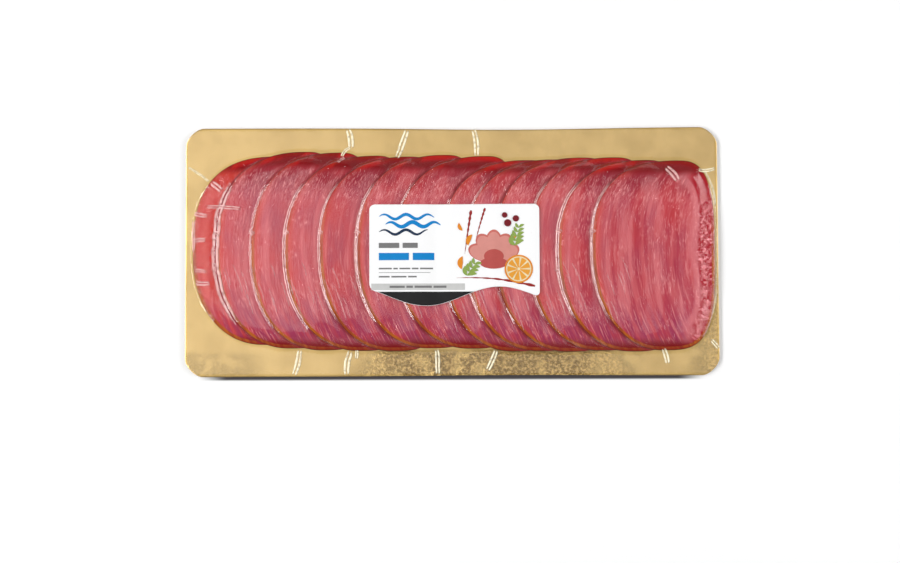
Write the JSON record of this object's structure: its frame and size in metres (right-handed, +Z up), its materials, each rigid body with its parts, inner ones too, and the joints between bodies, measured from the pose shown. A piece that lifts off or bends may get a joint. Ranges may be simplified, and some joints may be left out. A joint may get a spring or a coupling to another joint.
{
  "type": "vacuum pack of smoked tuna",
  "caption": "Flat vacuum pack: thin slices of smoked tuna fanned out along a gold card board under clear film, with a plain label on top.",
  "frame": {"origin": "middle of the board's underside, where the pack rests", "axes": "+X along the board from the first slice to the last, +Y across the board towards the label's top edge, +Z up out of the face that shows"},
  "size_m": [0.25, 0.117, 0.0126],
  "materials": {
    "board": "satin",
    "tuna": "satin",
    "film": "gloss",
    "label": "gloss"
  },
  "bodies": {
    "root": {"board": "board", "slice_01": "tuna", "slice_02": "tuna", "slice_03": "tuna", "slice_04": "tuna", "slice_05": "tuna", "slice_06": "tuna", "slice_07": "tuna", "slice_08": "tuna", "slice_09": "tuna", "slice_10": "tuna", "slice_11": "tuna", "slice_12": "tuna", "slice_13": "tuna", "film": "film", "label": "label"}
  },
  "joints": []
}
